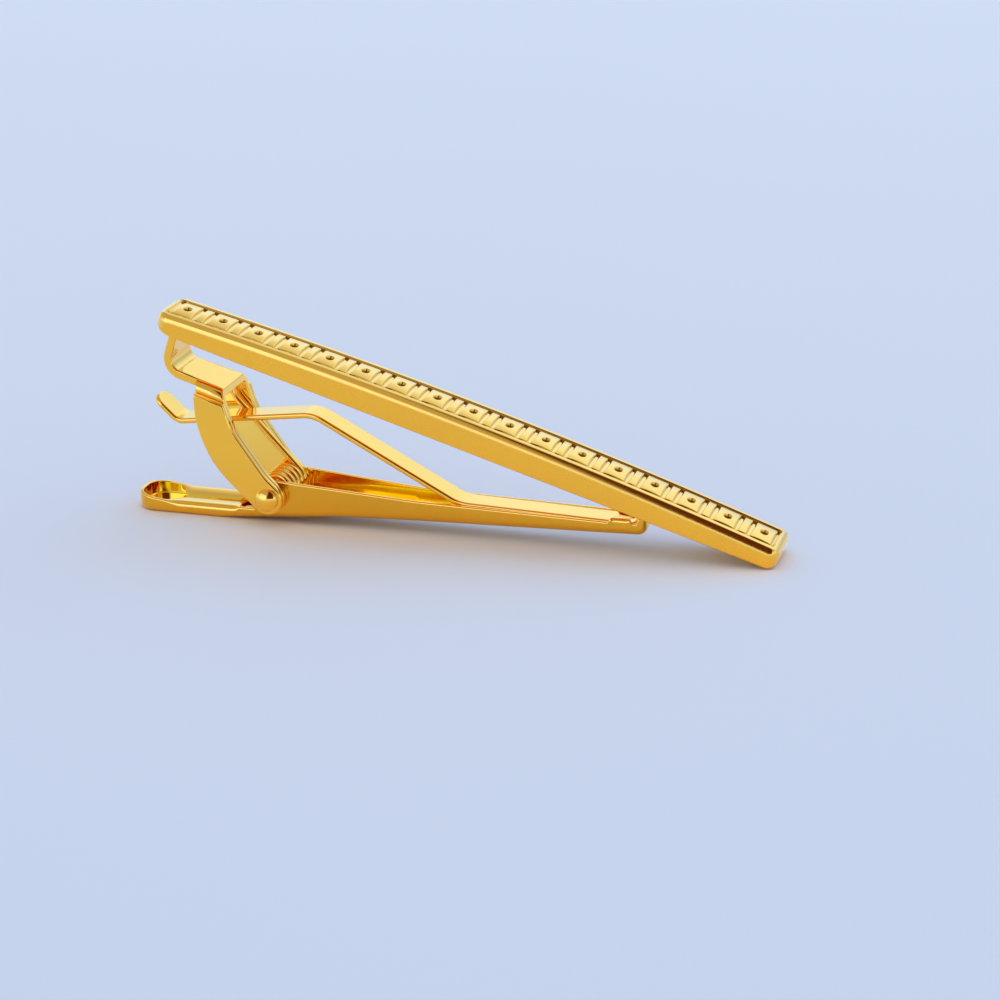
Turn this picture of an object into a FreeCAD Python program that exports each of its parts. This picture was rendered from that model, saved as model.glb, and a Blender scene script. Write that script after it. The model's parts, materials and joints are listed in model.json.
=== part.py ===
import FreeCAD, Part
import math
import os

# A spring-jawed tie clip lying on a table, jaw closed. Millimetres, +Z up, +X from the thumb end
# towards the low tip of the bar. Pieces are laid out about the hinge pin, which runs along Y, and are
# moved together at the end so that the origin is the middle of the footprint.

# Front bar
bar_length = 58.0
bar_width = 5.5
bar_end_thickness = 1.66
bar_arch_rise = 0.85
bar_crown_rise = 0.28
bar_bevel = 0.32
bar_end_bevel = 0.45
bar_corner_radius = 0.8
bar_foot_radius = 0.28
bar_tilt = 17.1

# Relief on the bar's top
rim_width = 0.5
end_rim_width = 0.75
panel_depth = 0.26
relief_gap = 0.3
square_length = 1.9
square_width = 3.2
divider_length = 0.75
relief_pitch = 3.375
dimple_radius = 0.3
dimple_depth = 0.2

# Hinge pin's place under the bar: along it from the thumb end, and square to its underside
pivot_setback = 14.35
pivot_drop = 10.75

# Hinge bracket
bracket_sheet = 0.58
strap_sheet = 0.74
strap_setback = 1.95
strap_width = 4.5
strap_bend_radius = 1.5
strap_seat_depth = 0.5
strap_seat_clearance = 0.03
bridge_drop = 2.89
fold_radius = 0.2
arm_end_radius = 1.4
arm_foot_angle = 47.0
arm_back_x = -6.5
arm_back_radius = 10.0
arm_shin_angle = 35.5
arm_knee_x = -3.1
arm_knee_z = 6.2
arm_knee_radius = 6.0
arm_heel_radius = 5.0

# Side plates
plate_sheet = 0.58
plate_top_drop = 0.98
plate_edge_radius = 0.2

# Jaw lever
lever_width = 4.7
lever_sheet = 0.32
lever_side_play = 0.07
thumb_toe_radius = 0.95
thumb_length = 13.1
thumb_height = 1.12
thumb_flare = 0.42
thumb_flare_length = 3.2
thumb_end_radius = 1.9
thumb_flat_length = 5.0
thumb_flap_start = 9.8
thumb_flap_end = 3.2
thumb_flap_dip = 0.36
thumb_seam = 0.06
pin_height = 2.5
ear_radius = 1.55
belly_x = 6.0
belly_rise = 0.95
jaw_length = 33.6
jaw_tip_height = 1.64
jaw_tip_gap = 0.13
jaw_tip_width = 3.5
jaw_waist_x = 13.0
jaw_waist_width = 3.8
jaw_waist_depth = 1.83
taper_start_x = 2.0
tab_length = 1.8
tab_reach = 0.75
tab_setback = 1.4
tab_play = 0.03

# Guard strip
strip_width = 2.6
strip_sheet = 0.5
strip_seat_play = 0.02
strip_end_setback = 1.0
strip_end_radius = 0.6
strip_knee_x = 16.86
strip_knee_lift = 0.945
strip_knee_radius = 3.5
strip_peak_x = 3.63
strip_peak_z = 7.35
strip_peak_radius = 3.0
strip_hook_x = -9.04
strip_hook_z = 5.75
strip_hook_radius = 1.2
strip_hook_length = 2.98
strip_hook_angle = 137.0

# Pivot rivet
rivet_radius = 0.6
rivet_head_radius = 1.05
rivet_head_height = 0.6
rivet_plate_clearance = 0.02
rivet_lever_clearance = 0.05

# Torsion spring
wire_diameter = 0.38
coil_radius = 1.42
coil_shift_x = 0.2
coil_shift_z = 0.15
coil_gap = 0.42
coil_whole_turns = 4
lever_leg_x = -2.6
bracket_leg_angle = 133.0
bracket_leg_inset = 1.9
bracket_leg_bend_radius = 0.9
leg_ease_length = 0.8
leg_seat_gap = 0.05
wire_gap_samples_per_arc = 12

# What follows from the sizes above
lever_half = lever_width / 2
cheek_inside = lever_half + lever_side_play
cheek_outside = cheek_inside + bracket_sheet
plate_outside = cheek_outside + plate_sheet
floor_z = -pin_height
coil_pitch = wire_diameter + coil_gap
tilt = math.radians(bar_tilt)
roomy = 4 * bar_length

bar_corner = FreeCAD.Vector(
    pivot_drop * math.sin(tilt) - pivot_setback * math.cos(tilt),
    0,
    pivot_drop * math.cos(tilt) + pivot_setback * math.sin(tilt),
)
bar_place = FreeCAD.Placement(bar_corner, FreeCAD.Rotation(FreeCAD.Vector(0, 1, 0), bar_tilt))


def on_bar(along, across, up):
    """A point given along, across and up from the bar's thumb-end underside corner."""
    return bar_place.multVec(FreeCAD.Vector(along, across, up))


def bar_underside(x):
    """Height of the bar's underside above the hinge pin, at x."""
    return bar_corner.z - (x - bar_corner.x) * math.tan(tilt)


def in_xz(a, b):
    return FreeCAD.Vector(a, 0, b)


def in_xy(a, b):
    return FreeCAD.Vector(a, b, 0)


def in_yz(a, b):
    return FreeCAD.Vector(0, a, b)


def outline_face(corners, place):
    """Flat face whose corners (a, b, radius) are joined by straight runs and rounded by tangent arcs."""
    edges = []
    spans = []
    for index, (a, b, radius) in enumerate(corners):
        corner = FreeCAD.Vector(a, b, 0)
        before = FreeCAD.Vector(*corners[index - 1][:2], 0)
        after = FreeCAD.Vector(*corners[(index + 1) % len(corners)][:2], 0)
        if radius == 0:
            spans.append((corner, None, corner))
            continue
        back = (before - corner).normalize()
        ahead = (after - corner).normalize()
        half = back.getAngle(ahead) / 2
        run = radius / math.tan(half)
        middle = (back + ahead).normalize() * (radius / math.sin(half) - radius)
        spans.append((corner + back * run, corner + middle, corner + ahead * run))
    for index, (start, middle, end) in enumerate(spans):
        last = spans[index - 1][2]
        if last.distanceToPoint(start) > 1e-6:
            edges.append(Part.LineSegment(place(last.x, last.y), place(start.x, start.y)).toShape())
        if middle is not None:
            edges.append(Part.Arc(*[place(p.x, p.y) for p in (start, middle, end)]).toShape())
    return Part.Face(Part.Wire(edges))


def sheet_corners(path, sheet):
    """Corners of a bent sheet seen edge on; path holds (a, b, bend radius at the sheet's middle)."""
    points = [FreeCAD.Vector(a, b, 0) for a, b, _ in path]
    steps = [(q - p).normalize() for p, q in zip(points, points[1:])]
    sides = []
    for offset in (sheet / 2, -sheet / 2):
        side = []
        for index, (a, b, radius) in enumerate(path):
            arriving = steps[max(index - 1, 0)]
            leaving = steps[min(index, len(steps) - 1)]
            normal_in = FreeCAD.Vector(-arriving.y, arriving.x, 0)
            normal_out = FreeCAD.Vector(-leaving.y, leaving.x, 0)
            shift = (normal_in + normal_out) * (offset / (1 + normal_in.dot(normal_out)))
            turn = math.copysign(1, arriving.cross(leaving).z)
            bend = radius - turn * offset if radius else 0
            side.append((a + shift.x, b + shift.y, bend))
        sides.append(side)
    return sides[0] + sides[1][::-1]


def prism_y(face, low, high):
    """Solid of an X-Z face drawn out across the clip from y = low to y = high."""
    face = face.copy()
    face.translate(FreeCAD.Vector(0, low, 0))
    return face.extrude(FreeCAD.Vector(0, high - low, 0))


def pin_hole(radius):
    """Cutter for a hole on the hinge axis, through everything."""
    start = FreeCAD.Vector(0, -roomy / 2, 0)
    return Part.makeCylinder(radius, roomy, start, FreeCAD.Vector(0, 1, 0))


def below_bar(drop):
    """Everything further than drop from the bar's underside, on the hinge's side."""
    box = Part.makeBox(2 * roomy, 2 * roomy, roomy)
    box.translate(FreeCAD.Vector(-roomy, -roomy, -roomy - drop))
    box.Placement = bar_place.multiply(box.Placement)
    return box


def arched(section, reach):
    """Turn a mid-length Y-Z section about the arch's axis, reach to each side along the bar."""
    arch_radius = (bar_length ** 2 / 4 + bar_arch_rise ** 2) / (2 * bar_arch_rise)
    rim_top = bar_end_thickness + bar_arch_rise
    centre = FreeCAD.Vector(bar_length / 2, 0, rim_top - arch_radius)
    swing = math.degrees(math.asin(reach / arch_radius))
    section = section.copy()
    section.translate(FreeCAD.Vector(bar_length / 2, 0, 0))
    section.rotate(centre, FreeCAD.Vector(0, 1, 0), -swing)
    return section.revolve(centre, FreeCAD.Vector(0, 1, 0), 2 * swing)


def crowned_section(half_width, bottom, sink, shoulder):
    """Y-Z section with a crowned top, sunk below the bar's own top, and bevelled shoulders."""
    rim_half = bar_width / 2 - bar_bevel
    crown_radius = (rim_half ** 2 + bar_crown_rise ** 2) / (2 * bar_crown_rise)
    top = bar_end_thickness + bar_arch_rise + bar_crown_rise - sink
    edge = half_width - shoulder
    edge_top = top - crown_radius + math.sqrt(crown_radius ** 2 - edge ** 2)
    crown = Part.Arc(in_yz(edge, edge_top), in_yz(0, top), in_yz(-edge, edge_top)).toShape()
    path = [(-edge, edge_top), (-half_width, edge_top - shoulder), (-half_width, bottom),
            (half_width, bottom), (half_width, edge_top - shoulder), (edge, edge_top)]
    points = [in_yz(*point) for index, point in enumerate(path) if index == 0 or point != path[index - 1]]
    sides = [Part.LineSegment(p, q).toShape() for p, q in zip(points, points[1:])]
    return Part.Face(Part.Wire([crown] + sides))


def relief_cutter():
    """What is sunk into the bar's top: the panel, without its raised squares and dividers."""
    panel_half = bar_width / 2 - bar_bevel - rim_width
    panel_length = bar_length - 2 * end_rim_width
    top = bar_end_thickness + bar_arch_rise + bar_crown_rise
    floor = crowned_section(panel_half, -bar_width, panel_depth, 0)
    ceiling = Part.makeBox(bar_length, bar_width, 2 * top, FreeCAD.Vector(0, -bar_width / 2, 0))
    column = Part.makeBox(panel_length, 2 * panel_half, 2 * top)
    column.translate(FreeCAD.Vector(end_rim_width, -panel_half, 0))
    panel = column.common(ceiling).cut(arched(floor, bar_length / 2))
    room = panel_length - 2 * relief_gap - square_length
    square_count = int(room / relief_pitch + 1e-6) + 1
    first = (bar_length - (square_count - 1) * relief_pitch) / 2
    raised = []
    dimples = []
    ball_radius = (dimple_radius ** 2 + dimple_depth ** 2) / (2 * dimple_depth)
    arch_radius = (bar_length ** 2 / 4 + bar_arch_rise ** 2) / (2 * bar_arch_rise)
    for index in range(square_count):
        middle = first + index * relief_pitch
        raised.append((middle, square_length))
        from_crest = middle - bar_length / 2
        surface = top - arch_radius + math.sqrt(arch_radius ** 2 - from_crest ** 2)
        centre = FreeCAD.Vector(middle, 0, surface + ball_radius - dimple_depth)
        dimples.append(Part.makeSphere(ball_radius, centre))
        if index < square_count - 1:
            raised.append((middle + relief_pitch / 2, divider_length))
    blocks = []
    for middle, length in raised:
        corner = FreeCAD.Vector(middle - length / 2, -square_width / 2, 0)
        blocks.append(Part.makeBox(length, square_width, 2 * top, corner))
    return panel.cut(Part.makeCompound(blocks)), Part.makeCompound(dimples)


def front_bar():
    """Arched and crowned bar with its relief, and a seat underneath for the bracket's strap."""
    body = arched(crowned_section(bar_width / 2, -bar_width, 0, bar_bevel), bar_length / 2 + bar_width)
    half = bar_width / 2
    plan = outline_face(
        [(0, -half, bar_corner_radius), (bar_length, -half, bar_corner_radius),
         (bar_length, half, bar_corner_radius), (0, half, bar_corner_radius)], in_xy)
    body = body.common(plan.extrude(FreeCAD.Vector(0, 0, bar_width)))
    end_top = bar_end_thickness + bar_crown_rise
    for end, inward in ((0, 1), (bar_length, -1)):
        wedge = Part.makePolygon([
            in_xz(end - inward, end_top - bar_end_bevel - 1),
            in_xz(end + inward * (bar_end_bevel + 1), end_top + 1),
            in_xz(end - inward, end_top + 1),
            in_xz(end - inward, end_top - bar_end_bevel - 1)])
        body = body.cut(prism_y(Part.Face(wedge), -bar_width, bar_width))
    foot = [edge for edge in body.Edges if edge.BoundBox.ZMax < 1e-6]
    body = body.makeFillet(bar_foot_radius, foot)
    panel, dimples = relief_cutter()
    body = body.cut(panel).cut(dimples)
    seat_length = strap_sheet + 2 * strap_seat_clearance
    seat_width = strap_width + 2 * strap_seat_clearance
    seat = Part.makeBox(seat_length, seat_width, strap_seat_depth + strap_seat_clearance + bar_width)
    seat.translate(FreeCAD.Vector(strap_setback - seat_length / 2, -seat_width / 2, -bar_width))
    body = body.cut(seat)
    body.Placement = bar_place
    return body


def crossing(point, angle, other_point, other_angle):
    """Where two X-Z lines meet, each given by a point and its angle from straight down."""
    ahead = (math.sin(math.radians(angle)), -math.cos(math.radians(angle)))
    other = (math.sin(math.radians(other_angle)), -math.cos(math.radians(other_angle)))
    gap = (other_point[0] - point[0], other_point[1] - point[1])
    run = (gap[0] * other[1] - gap[1] * other[0]) / (ahead[0] * other[1] - ahead[1] * other[0])
    return point[0] + run * ahead[0], point[1] + run * ahead[1]


def arm_face():
    """Side view of a bracket arm: square off the bridge, bent at the knee, rounded about the pin."""
    foot = math.radians(arm_foot_angle)
    ahead = FreeCAD.Vector(math.sin(foot), -math.cos(foot), 0) * arm_end_radius
    right = FreeCAD.Vector(math.cos(foot), math.sin(foot), 0) * arm_end_radius
    end_right = ahead + right
    end_left = ahead - right
    top = bar_corner.z
    knee = (arm_knee_x, arm_knee_z)
    heel = crossing(knee, arm_shin_angle, (right.x, right.y), arm_foot_angle)
    back = crossing((arm_back_x, 0), 0, (-right.x, -right.y), arm_foot_angle)
    top_right = arm_knee_x - (top - arm_knee_z) * math.tan(tilt)
    return outline_face(
        [(end_right.x, end_right.y, arm_end_radius), (*heel, arm_heel_radius), (*knee, arm_knee_radius),
         (top_right, top, 0), (arm_back_x, top, 0), (*back, arm_back_radius),
         (end_left.x, end_left.y, arm_end_radius)], in_xz)


def hinge_bracket():
    """Strap in the bar's underside, J bend, bridge and two folded cheeks down to the pin."""
    outer_fold = fold_radius + bracket_sheet
    deep = 2 * pivot_drop
    channel = outline_face(
        [(-cheek_outside, -deep, 0), (-cheek_inside, -deep, 0),
         (-cheek_inside, -bridge_drop - bracket_sheet, fold_radius),
         (cheek_inside, -bridge_drop - bracket_sheet, fold_radius),
         (cheek_inside, -deep, 0), (cheek_outside, -deep, 0),
         (cheek_outside, -bridge_drop, outer_fold), (-cheek_outside, -bridge_drop, outer_fold)], in_yz)
    channel = channel.extrude(FreeCAD.Vector(bar_length, 0, 0))
    channel.Placement = bar_place
    saddle = channel.common(prism_y(arm_face(), -plate_outside, plate_outside))
    bridge_middle = -bridge_drop - strap_sheet / 2
    arm_middle = (arm_back_x + arm_knee_x) / 2
    strap_reach = (arm_middle - bar_corner.x) / math.cos(tilt) - bridge_drop * math.tan(tilt)
    path = [(strap_setback, strap_seat_depth, 0),
            (strap_setback, bridge_middle, strap_bend_radius),
            (strap_reach, bridge_middle, 0)]
    strap = outline_face(sheet_corners(path, strap_sheet), in_xz)
    strap = prism_y(strap, -strap_width / 2, strap_width / 2)
    strap.Placement = bar_place
    bracket = saddle.fuse(strap).removeSplitter()
    return bracket.cut(pin_hole(rivet_radius + rivet_plate_clearance))


def side_plate(side):
    """Curved plate on the outside of one cheek; side is -1 at the front and 1 at the rear."""
    low, high = sorted((side * cheek_outside, side * plate_outside))
    plate = prism_y(arm_face(), low, high).common(below_bar(bridge_drop + plate_top_drop))
    face_y = side * plate_outside
    outside = [e for e in plate.Edges if abs(e.BoundBox.YMin - face_y) + abs(e.BoundBox.YMax - face_y) < 1e-5]
    plate = plate.makeFillet(plate_edge_radius, outside)
    return plate.cut(pin_hole(rivet_radius + rivet_plate_clearance))


def lever_underside(x):
    """Height of the lever's underside at x: flat under the thumb, then two gentle rises to the tip."""
    heel = -thumb_flat_length
    belly_z = floor_z + belly_rise
    tip_z = bar_underside(jaw_length) - jaw_tip_height
    if x < heel:
        return floor_z
    if x < belly_x:
        return floor_z + belly_rise * (x - heel) / (belly_x - heel)
    return belly_z + (tip_z - belly_z) * (x - belly_x) / (jaw_length - belly_x)


def lever_run():
    """Turning points of the lever's underside, from the thumb end to the tip."""
    return [(x, lever_underside(x)) for x in (-thumb_length, -thumb_flat_length, belly_x, jaw_length)]


def strip_seated(x):
    """Height of the guard strip's middle where it lies on the lever's floor at x."""
    return lever_underside(x) + lever_sheet + strip_seat_play + strip_sheet / 2


def strip_path():
    """Middle line of the guard strip, from its seat in the jaw's tip back to its hook."""
    end_x = jaw_length - strip_end_setback
    hook = math.radians(strip_hook_angle)
    tip_x = strip_hook_x + strip_hook_length * math.cos(hook)
    tip_z = strip_hook_z + strip_hook_length * math.sin(hook)
    return [(end_x, strip_seated(end_x), 0),
            (strip_knee_x, strip_seated(strip_knee_x) + strip_knee_lift, strip_knee_radius),
            (strip_peak_x, strip_peak_z, strip_peak_radius),
            (strip_hook_x, strip_hook_z, strip_hook_radius),
            (tip_x, tip_z, 0)]


def strip_top(x):
    """Height of the guard strip's upper face at x, on its seat in the jaw."""
    (end_x, end_z, _), (knee_x, knee_z, _) = strip_path()[:2]
    return end_z + (knee_z - end_z) * (end_x - x) / (end_x - knee_x) + strip_sheet / 2


def lever_plan(inset):
    """Plan outline of the lever, drawn in by inset from its outer faces."""
    stations = [(-thumb_length + inset, lever_width, thumb_end_radius - inset),
                (taper_start_x, lever_width, 0),
                (jaw_waist_x, jaw_waist_width, 0),
                (jaw_length - inset, jaw_tip_width, 0)]
    near = [(x, inset - width / 2, radius) for x, width, radius in stations]
    far = [(x, width / 2 - inset, radius) for x, width, radius in stations[::-1]]
    face = outline_face(near + far, in_xy)
    face.translate(FreeCAD.Vector(0, 0, -roomy / 2))
    return face.extrude(FreeCAD.Vector(0, 0, roomy))


def jaw_lever():
    """Folded channel with a rolled thumb end, ears at the pin and two crimped tabs at the tip."""
    thumb_top = floor_z + thumb_height
    tab_high = jaw_length - tab_setback
    tab_low = tab_high - tab_length
    tab_under = strip_top(tab_low) + tab_play
    tab_top = tab_under + lever_sheet
    tip_top = bar_underside(jaw_length) - jaw_tip_gap
    waist_top = lever_underside(jaw_waist_x) + jaw_waist_depth
    tip_wall_top = strip_top(tab_low)
    end_inside = jaw_length - lever_sheet
    run = [(x, z, 0) for x, z in lever_run()]
    run[0] = (-thumb_length, floor_z, thumb_toe_radius)
    top = [(jaw_length, tip_top, 0), (end_inside, tip_top, 0), (end_inside, tip_wall_top, 0),
           (tab_high, tip_wall_top, 0), (tab_high, tab_top, 0), (tab_low, tab_top, 0),
           (tab_low, tip_wall_top, 0), (jaw_waist_x, waist_top, 0),
           (-ear_radius, ear_radius, ear_radius * 0.9), (-ear_radius, thumb_top, 0),
           (thumb_flare_length - thumb_length, thumb_top, 0),
           (-thumb_length, thumb_top + thumb_flare, 0)]
    outside = prism_y(outline_face(run + top, in_xz), -lever_width, lever_width)
    hollow_run = [(x, z + lever_sheet, 0) for x, z in lever_run()]
    hollow = hollow_run + [(jaw_length, roomy, 0), (-thumb_length, roomy, 0)]
    hollow = prism_y(outline_face(hollow, in_xz), -lever_width, lever_width)
    shell = outside.common(lever_plan(0)).cut(hollow.common(lever_plan(lever_sheet)))
    for side in (-1, 1):
        seam = thumb_seam / 2
        dip = thumb_top - thumb_flap_dip
        flap = outline_face(
            [(side * seam, dip, 0), (side * seam, dip - lever_sheet, 0),
             (side * (lever_half - lever_sheet / 2), thumb_top - lever_sheet, 0),
             (side * (lever_half - lever_sheet / 2), thumb_top, 0)], in_yz)
        flap.translate(FreeCAD.Vector(-thumb_flap_start, 0, 0))
        shell = shell.fuse(flap.extrude(FreeCAD.Vector(thumb_flap_start - thumb_flap_end, 0, 0)))
        reach = lever_sheet + tab_reach
        tab = Part.makeBox(tab_length, reach, lever_sheet)
        edge = jaw_tip_width / 2
        tab.translate(FreeCAD.Vector(tab_low, -edge if side < 0 else edge - reach, tab_under))
        shell = shell.fuse(tab)
    return shell.cut(pin_hole(rivet_radius + rivet_lever_clearance)).removeSplitter()


def guard_strip():
    """Bent strip with a rounded seat end and a rounded hook end."""
    half = strip_width / 2
    strip = prism_y(outline_face(sheet_corners(strip_path(), strip_sheet), in_xz), -half, half)
    path = strip_path()
    low_end = FreeCAD.Vector(path[0][0], 0, path[0][1])
    hook_end = FreeCAD.Vector(path[-1][0], 0, path[-1][1])
    for end, radius in ((low_end, strip_end_radius), (hook_end, half * 0.8)):
        near = strip_sheet / 2 + 1e-4
        tips = []
        for edge in strip.Edges:
            middle = edge.CenterOfMass
            flat = FreeCAD.Vector(middle.x, 0, middle.z)
            across = abs(edge.BoundBox.YMax - edge.BoundBox.YMin)
            if flat.distanceToPoint(end) < near and across < half and abs(edge.Length - strip_sheet) < 1e-4:
                tips.append(edge)
        strip = strip.makeFillet(radius, tips)
    return strip


def pivot_rivet():
    """Pin with a domed head against each side plate."""
    crest = plate_outside + rivet_head_height
    dome = (rivet_head_radius ** 2 + rivet_head_height ** 2) / (2 * rivet_head_height)
    lean = math.asin(rivet_head_radius / dome) / 2
    shoulder = (dome * math.sin(lean), crest - dome * (1 - math.cos(lean)))
    outer = (rivet_head_radius, plate_outside)
    edges = [Part.LineSegment(in_xy(0, -crest), in_xy(0, crest)).toShape(),
             Part.Arc(in_xy(0, crest), in_xy(*shoulder), in_xy(*outer)).toShape()]
    stem = [outer, (rivet_radius, plate_outside), (rivet_radius, -plate_outside), (outer[0], -outer[1])]
    for start, end in zip(stem, stem[1:]):
        edges.append(Part.LineSegment(in_xy(*start), in_xy(*end)).toShape())
    far = [(outer[0], -outer[1]), (shoulder[0], -shoulder[1]), (0, -crest)]
    edges.append(Part.Arc(*[in_xy(*point) for point in far]).toShape())
    profile = Part.Face(Part.Wire(edges))
    return profile.revolve(FreeCAD.Vector(0, 0, 0), FreeCAD.Vector(0, 1, 0), 360)


def tangent_arc(start, heading, end):
    """Circular arc from start, leaving along heading, to end; a straight line where they are in line."""
    chord = end - start
    sideways = chord - heading * chord.dot(heading)
    if sideways.Length < 1e-7:
        return Part.LineSegment(start, end).toShape()
    sideways.normalize()
    radius = chord.dot(chord) / (2 * chord.dot(sideways))
    centre = start + sideways * radius
    middle = centre + ((start - centre) + (end - centre)).normalize() * radius
    return Part.Arc(start, middle, end).toShape()


def biarc(start, heading, end, leaving):
    """Two tangent arcs from start to end that leave and arrive along the given headings."""
    span = end - start
    both = heading + leaving
    a = 2 * (1 - heading.dot(leaving))
    b = 2 * span.dot(both)
    c = -span.dot(span)
    if a < 1e-9:
        reach = -c / b
    else:
        reach = (-b + math.sqrt(b * b - 4 * a * c)) / (2 * a)
    joint = (start + heading * reach + end - leaving * reach) * 0.5
    at_joint = (end - leaving * reach - start - heading * reach).normalize()
    return [tangent_arc(start, heading, joint), tangent_arc(joint, at_joint, end)]


def lever_leg_slope():
    """Downward slope of the lever's leg, tangent to the coil and down to its seat on the lever's floor."""
    seat_z = lever_underside(lever_leg_x) + lever_sheet
    run = coil_shift_x - lever_leg_x
    rise = coil_shift_z - seat_z
    clear = coil_radius + wire_diameter / 2 + leg_seat_gap
    return math.atan2(rise, run) - math.asin(clear / math.hypot(run, rise))


def coil_span():
    """Angles about the coil's axis where it starts, underneath at the front, and ends at the rear."""
    start = lever_leg_slope() - math.pi / 2
    end = math.radians(bracket_leg_angle) - math.pi / 2 + 2 * math.pi * coil_whole_turns
    return start, end


def coil_point(angle):
    """Point on the coil's middle line and its heading, at an angle about its axis."""
    start, end = coil_span()
    x = coil_shift_x + coil_radius * math.cos(angle)
    y = coil_pitch * (angle - (start + end) / 2) / (2 * math.pi)
    z = coil_shift_z + coil_radius * math.sin(angle)
    heading = FreeCAD.Vector(-math.sin(angle), coil_pitch / (2 * math.pi * coil_radius), math.cos(angle))
    return FreeCAD.Vector(x, y, z), heading.normalize()


def spring_path():
    """Edges of the spring's middle line: lever leg, coil of quarter turns, bracket leg."""
    start, end = coil_span()
    quarters = math.ceil((end - start) / (math.pi / 2))
    angles = [start + (end - start) * index / quarters for index in range(quarters + 1)]
    knots = [coil_point(angle) for angle in angles]
    (first, first_heading), (last, last_heading) = knots[0], knots[-1]
    flat_in = FreeCAD.Vector(first_heading.x, 0, first_heading.z).normalize()
    flat_out = FreeCAD.Vector(last_heading.x, 0, last_heading.z).normalize()
    ease_in = first - (flat_in + first_heading).normalize() * leg_ease_length
    ease_out = last + (flat_out + last_heading).normalize() * leg_ease_length
    foot = ease_in + flat_in * ((lever_leg_x - ease_in.x) / flat_in.x)
    edges = [Part.LineSegment(foot, ease_in).toShape()]
    edges += biarc(ease_in, flat_in, first, first_heading)
    for (point, heading), (next_point, next_heading) in zip(knots, knots[1:]):
        edges += biarc(point, heading, next_point, next_heading)
    edges += biarc(last, last_heading, ease_out, flat_out)
    knee_x = arm_knee_x - bracket_leg_inset
    knee = ease_out + flat_out * ((knee_x - ease_out.x) / flat_out.x)
    up = FreeCAD.Vector(0, 0, 1)
    trim = bracket_leg_bend_radius * math.tan(flat_out.getAngle(up) / 2)
    bend_start = knee - flat_out * trim
    bend_end = knee + up * trim
    seat_drop = (bridge_drop + bracket_sheet + leg_seat_gap) / math.cos(tilt) + wire_diameter * math.tan(tilt)
    top = FreeCAD.Vector(knee_x, knee.y, bar_underside(knee_x) - seat_drop)
    edges.append(Part.LineSegment(ease_out, bend_start).toShape())
    edges.append(tangent_arc(bend_start, flat_out, bend_end))
    edges.append(Part.LineSegment(bend_end, top).toShape())
    return edges


def wire_self_gap(edges):
    """Least gap between stretches of the wire that are more than half a turn apart along it."""
    points = []
    along = []
    travelled = 0
    for edge in edges:
        for point in edge.discretize(wire_gap_samples_per_arc)[:-1]:
            if points:
                travelled += points[-1].distanceToPoint(point)
            points.append(point)
            along.append(travelled)
    apart = math.pi * coil_radius
    pairs = ((i, j) for i in range(len(points)) for j in range(i) if along[i] - along[j] > apart)
    return min(points[i].distanceToPoint(points[j]) for i, j in pairs) - wire_diameter


def torsion_spring():
    """One unbroken round wire along the spring's middle line."""
    edges = spring_path()
    start = edges[0].valueAt(edges[0].FirstParameter)
    heading = edges[0].tangentAt(edges[0].FirstParameter)
    ring = Part.Wire(Part.makeCircle(wire_diameter / 2, start, heading))
    wire = Part.Wire(edges).makePipeShell([ring], True, False)
    print("spring: least gap of the wire to itself %.3f mm" % wire_self_gap(edges))
    expected = math.pi * wire_diameter ** 2 / 4 * sum(edge.Length for edge in edges)
    print("spring: volume %.4f mm3, section times length %.4f mm3" % (wire.Volume, expected))
    return wire


def main():
    """Build every piece, set the clip's footprint about the origin and write one file per piece."""
    pieces = {
        "front_bar": front_bar(),
        "hinge_bracket": hinge_bracket(),
        "front_side_plate": side_plate(-1),
        "rear_side_plate": side_plate(1),
        "jaw_lever": jaw_lever(),
        "guard_strip": guard_strip(),
        "torsion_spring": torsion_spring(),
        "pivot_rivet": pivot_rivet(),
    }
    box = Part.makeCompound(list(pieces.values())).optimalBoundingBox(False, False)
    footprint = FreeCAD.Vector(-box.Center.x, -box.Center.y, -box.ZMin)
    os.makedirs("parts", exist_ok=True)
    for name, shape in pieces.items():
        shape.translate(footprint)
        shape.exportStep("parts/%s.step" % name)
    print("hinge pin at x %.4f, z %.4f mm" % (footprint.x, footprint.z))


main()
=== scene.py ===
import json
import math
from collections import namedtuple

import bmesh
import bpy
from mathutils import Matrix, Vector


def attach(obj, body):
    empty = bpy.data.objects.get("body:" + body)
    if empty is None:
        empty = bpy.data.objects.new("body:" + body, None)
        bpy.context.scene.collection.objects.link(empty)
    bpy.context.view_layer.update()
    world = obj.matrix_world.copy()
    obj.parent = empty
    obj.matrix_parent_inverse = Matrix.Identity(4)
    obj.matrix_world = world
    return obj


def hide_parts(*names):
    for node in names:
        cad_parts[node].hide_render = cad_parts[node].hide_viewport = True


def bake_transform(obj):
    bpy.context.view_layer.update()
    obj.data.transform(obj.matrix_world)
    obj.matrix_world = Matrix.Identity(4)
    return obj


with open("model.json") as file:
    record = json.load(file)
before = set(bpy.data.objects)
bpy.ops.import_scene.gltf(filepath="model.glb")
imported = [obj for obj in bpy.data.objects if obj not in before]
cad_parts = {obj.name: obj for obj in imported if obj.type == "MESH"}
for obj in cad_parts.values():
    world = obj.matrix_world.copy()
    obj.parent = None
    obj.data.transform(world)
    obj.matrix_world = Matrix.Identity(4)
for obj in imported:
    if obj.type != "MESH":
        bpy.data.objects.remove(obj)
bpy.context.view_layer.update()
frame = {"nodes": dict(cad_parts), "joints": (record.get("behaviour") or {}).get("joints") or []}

# A spring-jawed tie clip lying on a table, jaw closed. Sizes are in millimetres. Those of the spring,
# rivet and lever are measured from the middle of the hinge pin.
MM = 0.001
pin = Vector(frame["joints"][0]["pos_m"])

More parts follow.
